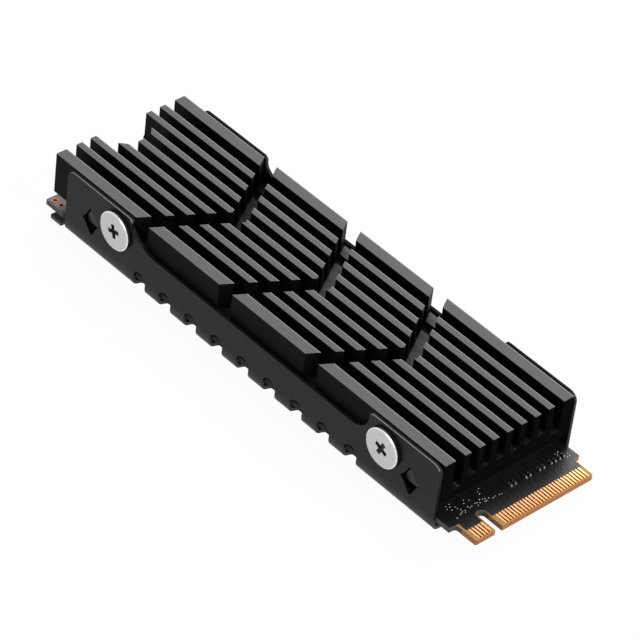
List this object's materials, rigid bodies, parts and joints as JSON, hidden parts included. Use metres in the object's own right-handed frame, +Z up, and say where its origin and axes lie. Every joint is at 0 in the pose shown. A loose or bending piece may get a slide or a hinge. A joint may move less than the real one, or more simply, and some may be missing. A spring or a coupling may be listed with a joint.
{
  "type": "solid state drive heat sink",
  "caption": "Finned aluminium block and folded sheet tray clamped round a card-edge solid state drive by side screws.",
  "frame": {"origin": "middle of the tray's flat underside, at the board's mid length", "axes": "+X along the board towards its gold contacts, +Y across it, +Z up through the fins"},
  "size_m": [0.08, 0.0242, 0.0103],
  "materials": {
    "black_anodised_aluminium": "black anodised extrusion, brushed fin tops",
    "black_coated_sheet": "smooth satin black coating",
    "nickel_plated_steel": "nickel plated, satin",
    "black_board": "black solder mask over glass laminate",
    "gold_plating": "gold plated copper",
    "tinned_copper": "tinned copper land",
    "thermal_pad": "soft matt grey pad",
    "chip_mould": "moulded black resin",
    "ferrite": "dark grey ferrite",
    "crystal_can": "drawn metal can",
    "ceramic": "tan ceramic with tinned ends",
    "resistor_film": "black glazed film"
  },
  "bodies": {
    "root": {"heatsink_block": "black_anodised_aluminium", "bottom_tray": "black_coated_sheet", "side_screws": "nickel_plated_steel", "circuit_board": "black_board", "top_contacts": "gold_plating", "bottom_contacts": "gold_plating", "mounting_pads": "gold_plating", "corner_test_pads": "tinned_copper", "upper_thermal_pad": "thermal_pad", "lower_thermal_pad": "thermal_pad", "controller_chip": "chip_mould", "memory_chip": "chip_mould", "flash_chips": "chip_mould", "power_chip": "chip_mould", "power_inductors": "ferrite", "clock_crystal": "crystal_can", "bulk_capacitors": "ceramic", "load_switches": "chip_mould", "chip_capacitors": "ceramic", "chip_resistors": "resistor_film", "coupling_capacitors": "ceramic"}
  },
  "joints": []
}
